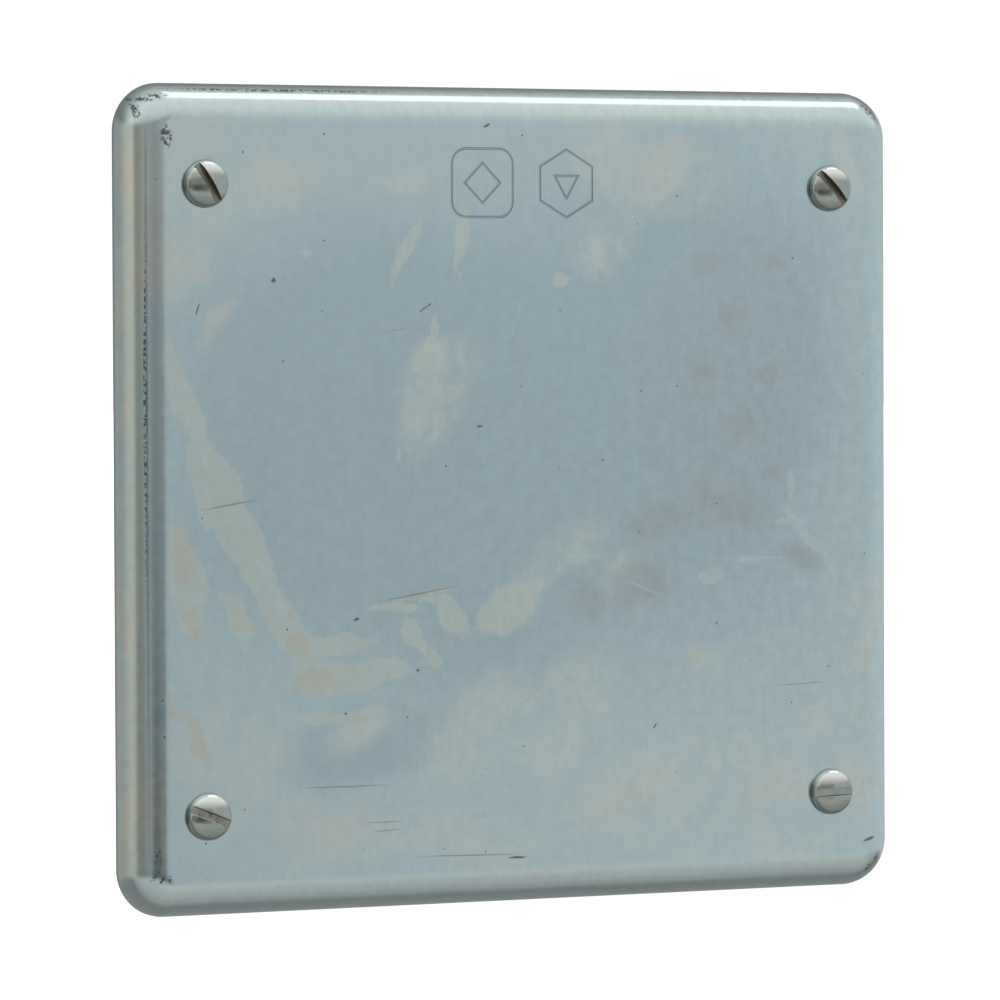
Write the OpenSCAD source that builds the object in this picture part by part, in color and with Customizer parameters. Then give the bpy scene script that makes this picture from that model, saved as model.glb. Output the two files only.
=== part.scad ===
// Flanged sheet-steel blank cover for a two-gang junction box: a shallow pressed pan with
// quarter-round edges, a rubber gasket inside it, and four captive slotted screws.
// Frame: X across, Z up, the outer face towards -Y, and the origin at the centre of the
// plane of the back rim, where the cover seats against its box.

/* [Cover] */
// Width of the cover
cover_w = 122.5; // [110:0.5:140]
// Height of the cover
cover_h = 115.9; // [105:0.1:135]
// Depth from the back rim to the outer face
cover_depth = 6; // [5.8:0.1:9]
// Thickness of the steel sheet
sheet_t = 1.5; // [0.9:0.1:2]
// Outer radius of the quarter-round bend along each edge
bend_r = 5.3; // [4:0.1:5.6]
// Outer radius of the corners, seen from the front
corner_r = 6.8; // [6:0.1:12]

/* [Marks] */
// Distance from the cover's centre up to the two stamped marks
mark_up = 44.3; // [30:0.1:46]
// Overall size of each stamped mark
mark_size = 10; // [6:0.2:12]
// Width of a stamped line
mark_line = 0.35; // [0.2:0.05:0.6]
// Depth of a stamped line
mark_depth = 0.12; // [0.05:0.01:0.4]

/* [Gasket] */
// Thickness of the rubber
gasket_t = 1.6; // [0.8:0.1:2.2]
// Width of the gasket's strips
gasket_strip = 7; // [5:0.5:10]
// Size of the square pad round each screw
gasket_pad = 12; // [11:0.5:16]
// Gap between the gasket's edge and the start of the bend
gasket_gap = 0.4; // [0.2:0.1:1]

/* [Screws] */
// Distance between the screws, across
screw_span_x = 99.6; // [90:0.1:102]
// Distance between the screws, up and down
screw_span_z = 87.7; // [80:0.1:95]
// Diameter of the holes in the cover
hole_d = 4; // [3.8:0.1:5]
// Diameter of a screw's head
head_d = 6.5; // [6:0.1:8]
// Height of the straight side of the head
head_side = 0.5; // [0.3:0.05:0.8]
// Whole height of the head
head_h = 1.98; // [1.9:0.02:2.4]
// Radius of the shoulder between the head's side and its crown
shoulder_r = 1; // [0.6:0.05:1.05]
// Width of the driver slot
slot_w = 1.1; // [0.9:0.1:1.4]
// Depth of the driver slot
slot_depth = 1.1; // [0.8:0.1:1.4]
// Outer diameter of the thread
thread_d = 3.5; // [3:0.1:4]
// Advance of the thread in one turn
thread_pitch = 0.79375; // [0.5:0.05:1]
// Whole turns from tight to fully backed out
free_turns = 4; // [2:1:5]
// Length of the screw under its head
screw_len = 12.7; // [12:0.1:20]

/* [Retainers] */
// Diameter of the undercut that a retainer rides on
undercut_d = 2.6; // [2.2:0.1:2.8]
// Outer diameter of a retaining washer
retainer_d = 6.4; // [5:0.1:8]
// Thickness of a retaining washer
retainer_t = 0.8; // [0.5:0.1:1.2]

/* [Hidden] */
$fn = 96;
over = 1;                                   // how far a cut runs past the surface it opens
gasket_hole_d = hole_d + 0.4;
gasket_corner_r = 2;
window_corner_r = 3;
retainer_bore_d = undercut_d + 0.1;         // 0.05 mm of running clearance all round
retainer_rest_gap = 0.3;                    // left between retainer and gasket when backed out
shoulder_gap = 0.1;                         // play between the retainer and the thread
screw_tip = 0.5;                            // length and depth of the cone at the screw's end
travel = free_turns * thread_pitch;
gasket_back = cover_depth - sheet_t - gasket_t;
retainer_front = gasket_back - retainer_rest_gap - travel;
thread_start = retainer_front - retainer_t - shoulder_gap;
// The crown's arc meets the shoulder's arc without a step, at shoulder_start from the axis
crown_rise = head_h - head_side;
crown_foot = head_d / 2 - shoulder_r;
crown_r = (pow(crown_foot, 2) + pow(crown_rise, 2) - pow(shoulder_r, 2)) / (2 * (crown_rise - shoulder_r));
shoulder_start = crown_foot * crown_r / (crown_r - shoulder_r);
gasket_w = cover_w - 2 * (bend_r + gasket_gap);
gasket_h = cover_h - 2 * (bend_r + gasket_gap);
mark_gap = 13.4;                            // between the centres of the two marks
TOP = 1;
BOTTOM = -1;
LEFT = -1;
RIGHT = 1;
STEEL = [0.66, 0.71, 0.72];
BRIGHT = [0.74, 0.76, 0.76];
RUBBER = [0.09, 0.09, 0.09];
NYLON = [0.88, 0.86, 0.8];

// Each piece is drawn lying on its back, with the rim at z = 0 and the face up, then stood up
module stand_up() rotate([90, 0, 0]) children();

// Section of an edge: a rectangle whose outer top corner is rounded by the bend
module edge_section(width, bend, depth) {
    square([width - bend, depth]);
    square([width, depth - bend]);
    intersection() {
        translate([width - bend, depth - bend]) circle(r = bend);
        square([width, depth]);
    }
}

// One straight edge, running along y, with its bend towards +x
module straight_edge(length, corner, bend, depth)
    rotate([90, 0, 0])
        linear_extrude(height = length, center = true) edge_section(corner, bend, depth);

// A solid pressing with quarter-round edges and swept corners, its back on z = 0
module pressing(w, h, corner, bend, depth) {
    cx = w / 2 - corner;
    cy = h / 2 - corner;
    translate([-cx, -cy, 0]) cube([2 * cx, 2 * cy, depth]);
    for (side = [0, 180]) {
        rotate(side) translate([cx, 0, 0]) straight_edge(2 * cy, corner, bend, depth);
        rotate(side + 90) translate([cy, 0, 0]) straight_edge(2 * cx, corner, bend, depth);
        rotate(side) translate([cx, cy, 0])
            rotate_extrude(angle = 90) edge_section(corner, bend, depth);
        rotate(side) translate([-cx, cy, 0]) rotate(90)
            rotate_extrude(angle = 90) edge_section(corner, bend, depth);
    }
}

module rounded_rect(w, h, r) {
    square([w - 2 * r, h], center = true);
    square([w, h - 2 * r], center = true);
    for (x = [-1, 1], y = [-1, 1]) translate([x * (w / 2 - r), y * (h / 2 - r)]) circle(r = r);
}

// At each of the four screws, on the plane of the pressing
module at_screws() {
    for (side = [LEFT, RIGHT], level = [TOP, BOTTOM])
        translate([side * screw_span_x / 2, level * screw_span_z / 2]) children();
}

// Stamped mark on the left: a rounded square round a diamond
module square_mark() {
    inner = mark_size - 2 * mark_line;
    diamond = mark_size * 0.42;
    difference() {
        rounded_rect(mark_size, mark_size, 2.4);
        rounded_rect(inner, inner, 2.4 - mark_line);
    }
    rotate(45) difference() {
        square(diamond, center = true);
        square(diamond - 2 * mark_line, center = true);
    }
}

// Stamped mark on the right: a hexagon round a triangle
module hexagon_mark() {
    difference() {
        circle(d = mark_size, $fn = 6);
        circle(d = mark_size - 2 * mark_line / cos(30), $fn = 6);
    }
    difference() {
        circle(d = mark_size * 0.5, $fn = 3);
        circle(d = mark_size * 0.5 - 2 * mark_line / cos(60), $fn = 3);
    }
}

module stamped_marks()
    translate([0, mark_up, cover_depth - mark_depth]) linear_extrude(height = over) {
        translate([-mark_gap / 2, 0]) square_mark();
        translate([mark_gap / 2, 0]) rotate(30) hexagon_mark();
    }

module cover() color(STEEL) stand_up() difference() {
    pressing(cover_w, cover_h, corner_r, bend_r, cover_depth);
    translate([0, 0, -over])
        pressing(cover_w - 2 * sheet_t, cover_h - 2 * sheet_t, corner_r - sheet_t,
                 bend_r - sheet_t, cover_depth - sheet_t + over);
    at_screws() cylinder(d = hole_d, h = cover_depth + over);
    stamped_marks();
}

module gasket_window() difference() {
    rounded_rect(gasket_w - 2 * gasket_strip, gasket_h - 2 * gasket_strip, gasket_corner_r);
    at_screws() rounded_rect(gasket_pad, gasket_pad, window_corner_r);
}

module gasket() color(RUBBER) stand_up() translate([0, 0, gasket_back])
    linear_extrude(height = gasket_t) difference() {
        rounded_rect(gasket_w, gasket_h, gasket_corner_r);
        gasket_window();
        at_screws() circle(d = gasket_hole_d);
    }

// Half section of the head: a straight side, a rounded shoulder and a low crown
module head_section() {
    square([head_d / 2, head_side]);
    intersection() {
        translate([0, head_h - crown_r]) circle(r = crown_r);
        square([shoulder_start, head_h]);
    }
    intersection() {
        translate([crown_foot, head_side]) circle(r = shoulder_r);
        square([head_d / 2, head_h]);
    }
}

// A captive screw on the pressing's z axis, seated on the face, its slot turned by slot_angle
module screw_body(slot_angle) {
    end = cover_depth - screw_len;
    translate([0, 0, cover_depth]) difference() {
        rotate_extrude() head_section();
        rotate(slot_angle) translate([-head_d, -slot_w / 2, head_h - slot_depth])
            cube([2 * head_d, slot_w, slot_depth + over]);
    }
    translate([0, 0, thread_start]) cylinder(d = undercut_d, h = cover_depth - thread_start);
    translate([0, 0, end + screw_tip]) cylinder(d = thread_d, h = thread_start - end - screw_tip);
    translate([0, 0, end]) cylinder(d1 = thread_d - 2 * screw_tip, d2 = thread_d, h = screw_tip);
}

module screw(side, level, slot_angle) color(BRIGHT) stand_up()
    translate([side * screw_span_x / 2, level * screw_span_z / 2, 0]) screw_body(slot_angle);

module retainer(side, level) color(NYLON) stand_up()
    translate([side * screw_span_x / 2, level * screw_span_z / 2, retainer_front - retainer_t])
        difference() {
            cylinder(d = retainer_d, h = retainer_t);
            translate([0, 0, -over]) cylinder(d = retainer_bore_d, h = retainer_t + 2 * over);
        }

cover();
gasket();
screw(LEFT, TOP, -58);  // screw_top_left
screw(RIGHT, TOP, -47);  // screw_top_right
screw(LEFT, BOTTOM, -22);  // screw_bottom_left
screw(RIGHT, BOTTOM, 2);  // screw_bottom_right
retainer(LEFT, TOP);  // retainer_top_left
retainer(RIGHT, TOP);  // retainer_top_right
retainer(LEFT, BOTTOM);  // retainer_bottom_left
retainer(RIGHT, BOTTOM);  // retainer_bottom_right
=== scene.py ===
# Visual model of a flanged steel blank cover for a two-gang junction box: the pressed cover with
# its stamped marks, the gasket behind its face, and four captive screws with their washers.
import math

import bmesh
import bpy
from mathutils import Matrix, Vector, geometry, noise


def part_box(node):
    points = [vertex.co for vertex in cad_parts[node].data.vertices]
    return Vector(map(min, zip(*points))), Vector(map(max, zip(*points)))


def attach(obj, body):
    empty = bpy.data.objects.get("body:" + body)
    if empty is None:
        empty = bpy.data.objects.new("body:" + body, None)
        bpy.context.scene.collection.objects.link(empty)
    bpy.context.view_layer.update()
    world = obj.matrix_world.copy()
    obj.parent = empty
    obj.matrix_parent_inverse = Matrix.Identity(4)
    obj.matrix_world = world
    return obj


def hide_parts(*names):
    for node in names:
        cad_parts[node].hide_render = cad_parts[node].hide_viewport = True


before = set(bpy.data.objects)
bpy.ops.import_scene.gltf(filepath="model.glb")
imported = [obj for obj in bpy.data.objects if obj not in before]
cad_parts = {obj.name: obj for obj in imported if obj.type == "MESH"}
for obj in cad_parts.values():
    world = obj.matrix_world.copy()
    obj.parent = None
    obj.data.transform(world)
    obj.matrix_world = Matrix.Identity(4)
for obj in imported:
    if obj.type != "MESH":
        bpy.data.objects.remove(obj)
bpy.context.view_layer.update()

MM = 0.001
noise.seed_set(7)                          # otherwise the clock moves the noise that bends the stains

# ---------------------------------------------------------------- sizes, in metres

COVER_LOW, COVER_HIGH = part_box("cover")
FACE_Y = COVER_LOW.y                       # plane of the outer face, towards -Y
RIM_Y = COVER_HIGH.y                       # plane of the back rim
HALF_W = COVER_HIGH.x
HALF_H = COVER_HIGH.z
SHEET = 1.5 * MM                           # thickness of the steel
BEND = 5.3 * MM                            # outer radius of the quarter-round edges
CORNER = 6.8 * MM                          # outer radius of the corners, seen from the front
RIM_ROUND = 0.22 * MM                      # worn round of the rim's two edges
HOLE_R = 2.0 * MM                          # screw holes in the sheet
HOLE_ROUND = 0.12 * MM                     # worn round at both ends of a hole
HOLE_SIDES = 48
MARK_UP = 44.3 * MM                        # the stamped marks, above the middle of the face
MARK_GAP = 13.4 * MM                       # from the middle of one mark to that of the other
MARK_SIZE = 10.0 * MM
MARK_LINE = 0.35 * MM                      # width of a stamped line
MARK_WALL = 0.07 * MM                      # how far a stamped line's wall slopes in
MARK_DEPTH = 0.12 * MM
PITCH = 0.79375 * MM                       # of the screws' thread

CORNERS = ("top_left", "top_right", "bottom_left", "bottom_right")


def screw_axis(corner):
    """Where a screw's axis crosses the cover, as (x, z)."""
    low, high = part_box("screw_" + corner)
    return (low.x + high.x) / 2, (low.z + high.z) / 2


AXES = {corner: screw_axis(corner) for corner in CORNERS}
AXIS_MM = {corner: (x / MM, z / MM) for corner, (x, z) in AXES.items()}

# ---------------------------------------------------------------- mesh helpers


def arc(cx, cy, r, start, end, steps):
    """Points on an arc, both ends included, angles in degrees."""
    angles = [math.radians(start + (end - start) * k / steps) for k in range(steps + 1)]
    return [(cx + r * math.cos(a), cy + r * math.sin(a)) for a in angles]


def ring_points(cx, cy, r, count):
    """Points all round a circle, anticlockwise from +X."""
    return arc(cx, cy, r, 0, 360 * (count - 1) / count, count - 1)


def rounded_outline(half_w, half_h, r, steps, spacing=None):
    """Closed outline of a rounded rectangle, anticlockwise; spacing divides the straight sides."""
    corners = [(1, 1, 0), (-1, 1, 90), (-1, -1, 180), (1, -1, 270)]
    loop = []
    for i, j, start in corners:
        part = arc(i * (half_w - r), j * (half_h - r), r, start, start + 90, steps)
        if loop and spacing:
            loop += between(loop[-1], part[0], spacing)
        loop += part
    if spacing:
        loop += between(loop[-1], loop[0], spacing)
    return loop


def between(a, b, spacing):
    """Evenly spaced points strictly between a and b."""
    count = max(1, round(math.dist(a, b) / spacing))
    return [(a[0] + (b[0] - a[0]) * k / count, a[1] + (b[1] - a[1]) * k / count) for k in range(1, count)]


def inside(point, loop):
    """Even-odd test of a point against a closed outline."""
    x, y = point
    hit = False
    for (x0, y0), (x1, y1) in zip(loop, loop[1:] + loop[:1]):
        if (y0 > y) != (y1 > y) and x < x0 + (x1 - x0) * (y - y0) / (y1 - y0):
            hit = not hit
    return hit


def triangulate(loops, points):
    """Triangles of a flat region: loops is a list of closed outlines, points are loose points.
    Returns (2D vertices, triangles, index of the input vertex for each output vertex or None)."""
    verts, edges = [], []
    for loop in loops:
        base = len(verts)
        verts += [Vector(p) for p in loop]
        edges += [(base + k, base + (k + 1) % len(loop)) for k in range(len(loop))]
    verts += [Vector(p) for p in points]
    out, _, faces, origin, _, _ = geometry.delaunay_2d_cdt(verts, edges, [], 0, 1e-9, True)
    return [tuple(v) for v in out], [tuple(f) for f in faces], [o[0] if o else None for o in origin]


def new_piece(name, verts, faces, body, material, smooth_angle, shade_and_dirt=None):
    """Makes a piece; its optional function of (centre, normal) gives how dark each face is painted, from 0
    to 1: painted shade in recesses, with some dirt.
    """
    mesh = bpy.data.meshes.new(name)
    mesh.from_pydata(verts, [], faces)
    bm = bmesh.new()
    bm.from_mesh(mesh)
    bmesh.ops.remove_doubles(bm, verts=bm.verts, dist=1e-7)
    bmesh.ops.recalc_face_normals(bm, faces=bm.faces)
    bm.to_mesh(mesh)
    bm.free()
    mesh.polygons.foreach_set("use_smooth", [True] * len(mesh.polygons))
    if shade_and_dirt:
        layer = mesh.attributes.new("shade_and_dirt", "FLOAT", "FACE")
        layer.data.foreach_set("value", [shade_and_dirt(f.center, f.normal) for f in mesh.polygons])
    mesh.set_sharp_from_angle(angle=math.radians(smooth_angle))
    piece = bpy.data.objects.new(name, mesh)
    bpy.context.scene.collection.objects.link(piece)
    mesh.materials.append(material)
    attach(piece, body)
    return piece


class Builder:
    """Collects vertices and faces of one piece."""

    def __init__(self):
        self.verts = []
        self.faces = []

    def add(self, points):
        """Adds loose points and returns their indices."""
        base = len(self.verts)
        self.verts += [tuple(p) for p in points]
        return range(base, base + len(points))

    def strip(self, a, b):
        """Quads between two closed rows of vertex indices of equal length."""
        for k in range(len(a)):
            n = (k + 1) % len(a)
            self.faces.append((a[k], a[n], b[n], b[k]))

    def rows(self, rows):
        """Closed rows of points, each joined to the next one."""
        made = [self.add(r) for r in rows]
        for a, b in zip(made, made[1:]):
            self.strip(a, b)


# ---------------------------------------------------------------- node helpers


class Nodes:
    """Short names for building a node tree."""

    def __init__(self, tree):
        self.tree = tree
        tree.nodes.clear()

    def new(self, kind, inputs=None, **settings):
        """Makes a node; each of its inputs is linked to a socket or set to a value."""
        node = self.tree.nodes.new(kind)
        for key, value in settings.items():
            setattr(node, key, value)
        for key, value in (inputs or {}).items():
            if isinstance(value, bpy.types.NodeSocket):
                self.tree.links.new(value, node.inputs[key])
            else:
                node.inputs[key].default_value = value
        return node

    def math(self, operation, a, b=0.0):
        return self.new("ShaderNodeMath", {0: a, 1: b}, operation=operation).outputs[0]

    def vmath(self, operation, a, b=(0, 0, 0)):
        return self.new("ShaderNodeVectorMath", {0: a, 1: b}, operation=operation)

    def noise(self, vector, scale, detail=3.0, rough=0.5, distortion=0.0):
        """A noise texture; its first output is the value and "Color" a vector."""
        inputs = {"Vector": vector, "Scale": scale, "Detail": detail}
        inputs.update({"Roughness": rough, "Distortion": distortion})
        return self.new("ShaderNodeTexNoise", inputs)

    def ramp(self, value, low, high, to_low=0.0, to_high=1.0):
        """Smooth step of value from low..high to to_low..to_high."""
        return self.new(
            "ShaderNodeMapRange",
            {"Value": value, "From Min": low, "From Max": high, "To Min": to_low, "To Max": to_high},
            interpolation_type="SMOOTHSTEP",
        ).outputs[0]

    def spread(self, value, to_low, to_high):
        """A noise's value, most of which lies in 0.3..0.7, brought to to_low..to_high."""
        return self.ramp(value, 0.3, 0.7, to_low, to_high)

    def mix(self, factor, a, b, blend="MIX"):
        """Colour a turned into b; sockets 6 and 7 and output 2 are the node's colour ones."""
        node = self.new("ShaderNodeMix", data_type="RGBA", blend_type=blend)
        self.set(node.inputs[0], factor)
        self.set(node.inputs[6], a)
        self.set(node.inputs[7], b)
        return node.outputs[2]

    def set(self, socket, value):
        """Links or sets a socket; a colour may be given as three numbers."""
        if isinstance(value, bpy.types.NodeSocket):
            self.tree.links.new(value, socket)
        elif isinstance(value, (tuple, list)) and len(value) == 3 and socket.type == "RGBA":
            socket.default_value = (*value, 1.0)
        else:
            socket.default_value = value

    def lay(self, colour, mask, tint, amount):
        """Colour with a tint laid over it where mask is 1, at a strength of amount."""
        return self.mix(self.math("MULTIPLY", mask, amount), colour, tint)

    def attribute(self, name):
        """A value that the mesh carries."""
        return self.new("ShaderNodeAttribute", attribute_name=name).outputs["Fac"]

    def blob(self, place, centre, radius, softness):
        """Mask that is 1 round centre and fades to 0 at radius."""
        d = self.vmath("SUBTRACT", place, centre).outputs[0]
        d = self.vmath("DIVIDE", d, radius).outputs[0]
        length = self.vmath("LENGTH", d).outputs["Value"]
        return self.ramp(length, 1.0, 1.0 - softness)


def new_material(name, **constants):
    """A material with a Principled shader whose plain sockets take constants."""
    material = bpy.data.materials.new(name)
    material.use_nodes = True
    n = Nodes(material.node_tree)
    shader = n.new("ShaderNodeBsdfPrincipled")
    out = n.new("ShaderNodeOutputMaterial")
    n.tree.links.new(shader.outputs[0], out.inputs[0])
    for key, value in constants.items():
        shader.inputs[key.replace("_", " ")].default_value = value
    return material, n, shader


def position_mm(n):
    """Where a point lies on its piece, in mm."""
    node = n.new("ShaderNodeVectorMath", operation="SCALE")
    n.tree.links.new(n.new("ShaderNodeTexCoord").outputs["Object"], node.inputs[0])
    node.inputs["Scale"].default_value = 1 / MM
    return node.outputs[0]


def relief(n, shader, height, strength, depth):
    """Gives a surface fine bumps, depth metres high at full strength."""
    bump = n.new("ShaderNodeBump", {"Strength": strength, "Distance": depth, "Height": height})
    n.tree.links.new(bump.outputs[0], shader.inputs["Normal"])


# ---------------------------------------------------------------- materials


# Patches on the face, each an ellipse (x, z, half length, half width, tilt) in millimetres and degrees
MIDDLE = [(-8, 6, 46, 34, 0), (24, 14, 26, 34, 0), (-22, -36, 15, 6, 8)]
DULL = [(34, 17, 15, 22, 0)]
SAND_SOFT = [
    (-47, 46, 15, 7, 8), (-54, 33, 8, 4, 55), (19, 46, 14, 8, 0), (11, 37, 6, 5, 30), (-13, 16, 8, 4, 60),
    (-1, -15, 6, 4, 30), (6, -10, 9, 3, 25), (-48, -38, 12, 9, 20), (-7, -35, 12, 6, 30),
    (6, -32, 11, 5, 40), (-20, -49, 26, 4, 0), (20, -42, 17, 7, 8), (45, -34, 9, 5, 45),
    (54, -24, 11, 4, 88), (52, 46, 7, 3, -60), (-17, 44, 9, 1.6, 0), (30, -50, 24, 3, 0),
    (-25, -33, 8, 2.5, 10), (17, -13, 6, 4, 20), (33, -24, 4, 3, 10),
]
SAND = [
    (-53, 14, 10, 1.8, -66), (-45.5, -3, 14, 3, -64), (-37, -19, 9, 2.4, -52), (-53, -12, 8.5, 2.6, -80),
    (-45.3, -16, 4, 1.5, -55), (-30.5, -20.3, 7, 1.2, 4), (-28, -24.8, 9.6, 2.3, 3),
    (-30.5, -30.4, 5.6, 0.9, 2), (-19, -14.7, 9, 0.8, 9), (-18, -19.4, 2.8, 1.4, -60),
    (-15.3, -22.6, 2.4, 1.3, -50), (-11.3, -17, 3.8, 1.6, -62), (-3, -16.5, 5, 3.2, 35),
    (-9.7, 36, 6, 0.9, 78), (-18.5, 34.8, 6.5, 0.9, 62), (5.5, 31, 1.5, 1.2, 20),
    (28, -23.5, 2.4, 1.8, -20), (-50.5, 2, 7, 1.4, -80), (-15, 22, 5, 1, 70),
]
ROSE = [
    (-53.2, -8, 4.6, 1.9, -82), (-52, -17, 2.8, 1.4, -78), (-44.8, -16.6, 2.5, 1, -55),
    (-33.4, -25.6, 4.4, 1.6, 8), (-51.6, -33.2, 4.6, 1.3, -66), (-55.2, -28.6, 2.6, 0.8, -85),
    (-46, -0.6, 4.6, 0.35, 9), (-27, -30.6, 3, 0.7, 0), (-36, -20, 2.6, 1.5, -40),
    (-17, -13.6, 7, 0.35, 9),
]
BLUSH = [
    (-38.5, 44.2, 6, 3.8, 15), (-55, 32, 6, 2.8, 65), (-31, -46.5, 9, 3.6, 0), (22, 47.5, 6, 3, 30),
    (55, -43, 7, 3.4, 88), (-15, 44.3, 3.6, 1, 0), (41, -42, 7, 4, 20), (18, -43, 8, 3, 12),
    (-48, 24, 4, 2, 50),
]
SMUDGE = [
    (29.6, 33, 2.1, 1.8, 0), (40.2, 33, 1.8, 1.5, 0), (33.8, 25.4, 2.6, 2.3, 0), (28.6, 17, 2.3, 2, 0),
    (39.4, 17, 2.1, 1.8, 0), (35.4, 9.4, 3, 2.4, 0), (28.9, 1.5, 2.3, 2, 0), (40.3, 2.2, 1.8, 1.5, 0),
    (33, -2.4, 8, 3.6, -8), (18.4, -13, 6, 4, 20), (45, -9.3, 4, 2, -20), (22, -4, 7, 3, 20),
    (10, -15, 3, 3.5, 60), (-58, 53.2, 1.6, 1.8, 0),
]
PALE = [
    (43.3, 1.2, 2.6, 0.8, 84), (43.1, -2.6, 1.6, 0.8, -70), (44.6, -5, 2, 0.85, -42),
    (47.3, -7.6, 3, 0.95, -44), (42, -4.6, 1.1, 0.8, 20), (50, -11, 1.6, 1, -60),
    (-20, 5.8, 1.1, 0.6, 65), (-34.4, 34.2, 1.3, 0.6, 30), (30, -12, 2.4, 1.2, 10),
    (36, -9.8, 3, 0.8, -5), (-51, 8, 4, 0.6, -64), (-40, -12, 6, 0.5, -62),
]
HAIRLINES = [
    (9.6, -8.7, 4.5, 0.1, 0), (37, -9.6, 6.5, 0.1, 0), (-7, -18.4, 1.8, 0.1, 8),
    (19, -13.5, 4, 0.12, -22), (34.6, -32.6, 4, 0.1, 14), (-1.4, 25, 3, 0.09, 70),
    (-17, -24.5, 2, 0.1, 0),
]
PITS = [
    (-39.4, 30.5, 0.42, 0.38, 0), (-15.9, 26.6, 1.1, 0.1, 30), (-15.1, 27.1, 0.2, 0.2, 0),
    (-7.2, 9.9, 0.55, 0.16, 5), (-26.8, -17, 0.5, 0.24, 10), (-28.5, -30.2, 0.24, 0.2, 0),
    (-6, 52.4, 0.7, 0.2, 20), (20.8, -33.4, 0.5, 0.14, 55), (56.3, -51, 1.1, 0.26, 18),
    (-51, 26.5, 1, 0.14, 70), (-17.2, -24.4, 0.3, 0.22, 0), (-1.6, -51.4, 1.6, 0.2, 0),
]
SCRATCHES = [
    (-28.8, -40.4, 7, 0.13, 0), (-22.6, -45.6, 3, 0.1, 0), (-22.2, -46.8, 2.4, 0.1, 3),
    (-9, -50.8, 9, 0.12, -1), (45, -28, 5, 0.08, 2), (-20.5, 23.5, 2.2, 0.06, 12),
    (-46, -0.6, 4.6, 0.16, 9), (-17, -13.6, 7, 0.14, 9),
]
FLECKS = [
    (-59.3, 54.2, 1.7, 0.5, 90), (-57, 55.8, 2.2, 0.5, 8), (-56.8, -52.3, 1.6, 0.7, 0),
    (-57.4, -50.2, 2.4, 0.5, 84), (-55.6, 50.4, 0.9, 1.6, 0), (-38, 57, 17, 0.2, 0),
    (-58.66, 12, 25, 0.13, 90), (-58.66, 13, 15, 0.24, 90), (57.4, 54.8, 2, 0.5, -45),
    (57.2, -54.6, 1.6, 0.4, 45),
]
# The stains that lie on the mesh, lowest first. For each: its patches, the scale and the reach in mm of the
# noise that bends them, the distance where the stain starts and the one where it is full (1 is an
# ellipse's edge), how ragged its edge is, its colour and how strong it is
STAINS = {
    "sand_soft": (SAND_SOFT, 0.08, 5, 1.35, 0.5, 0.5, (0.58, 0.675, 0.66), 0.85),
    "sand": (SAND, 0.3, 1.2, 1.15, 0.85, 0.9, (0.565, 0.66, 0.62), 0.75),
    "dull": (DULL, 0.06, 5, 1.3, 0.5, 0.6, (0.435, 0.545, 0.59), 0.75),
    "smudge": (SMUDGE, 0.3, 0.8, 1.3, 0.4, 0.6, (0.425, 0.508, 0.528), 0.85),
    "rose": (ROSE, 0.3, 1.0, 1.25, 0.5, 0.9, (0.575, 0.60, 0.535), 0.8),
    "blush": (BLUSH, 0.15, 3.0, 1.4, 0.3, 0.6, (0.60, 0.665, 0.635), 0.8),
    "pale": (PALE, 0.4, 0.5, 1.2, 0.8, 0.5, (0.53, 0.665, 0.69), 0.7),
}
MIDDLE_BEND = (0.05, 6)                    # scale and reach of the noise that bends MIDDLE
SLATE = (0.428, 0.572, 0.620)              # colour inside MIDDLE
PALE_ZINC = (0.505, 0.652, 0.690)          # colour outside it
# dark colour of the pits and flecks, and of the painted contact shadow round the screw heads and the
# painted shade in the stamped lines
DIRT_AND_SHADE = (0.09, 0.10, 0.09)
STEEL_DARK = (0.35, 0.415, 0.405)          # the screws' two greys
STEEL_LIGHT = (0.42, 0.455, 0.425)
RUST = (0.34, 0.23, 0.14)
# colour of the painted shade and dirt in the screws' slots
SLOT_SHADE_AND_DIRT_COLOUR = (0.21, 0.185, 0.15)


def patches(n, place, rows):
    """How far place lies from the nearest of a list of ellipses: 0 at a middle, 1 on an edge."""
    nearest = None
    for x, z, half_length, half_width, tilt in rows:
        local = n.new(
            "ShaderNodeMapping",
            {"Vector": place, "Location": (x, 0, z), "Rotation": (0, math.radians(-tilt), 0),
             "Scale": (half_length, 60, half_width)},
            vector_type="TEXTURE",
        ).outputs[0]
        length = n.vmath("LENGTH", local).outputs["Value"]
        nearest = n.math("MINIMUM", nearest, length) if nearest else length
    return nearest


def stain_field(x, z, rows, scale, reach):
    """How far a point of the face lies from a list of ellipses, their shapes bent by a noise."""
    bend = noise.noise_vector(Vector((x * scale, z * scale, 3.7)))
    x, z = x + reach * bend.x, z + reach * bend.y
    nearest = 4.0  # far outside every ellipse
    for cx, cz, half_length, half_width, tilt in rows:
        c, s = math.cos(math.radians(tilt)), math.sin(math.radians(tilt))
        u = ((x - cx) * c + (z - cz) * s) / half_length
        v = ((z - cz) * c - (x - cx) * s) / half_width
        nearest = min(nearest, math.hypot(u, v))
    return nearest


def wander(n, place, scale, reach):
    """Place, moved about by a noise, so that what is drawn from it has uneven edges."""
    drift = n.noise(place, scale, 4.0, 0.6).outputs["Color"]
    centred = n.vmath("SUBTRACT", drift, (0.5, 0.5, 0.5)).outputs[0]
    moved = n.vmath("MULTIPLY", centred, (reach, reach, reach)).outputs[0]
    return n.vmath("ADD", place, moved).outputs[0]


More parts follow.
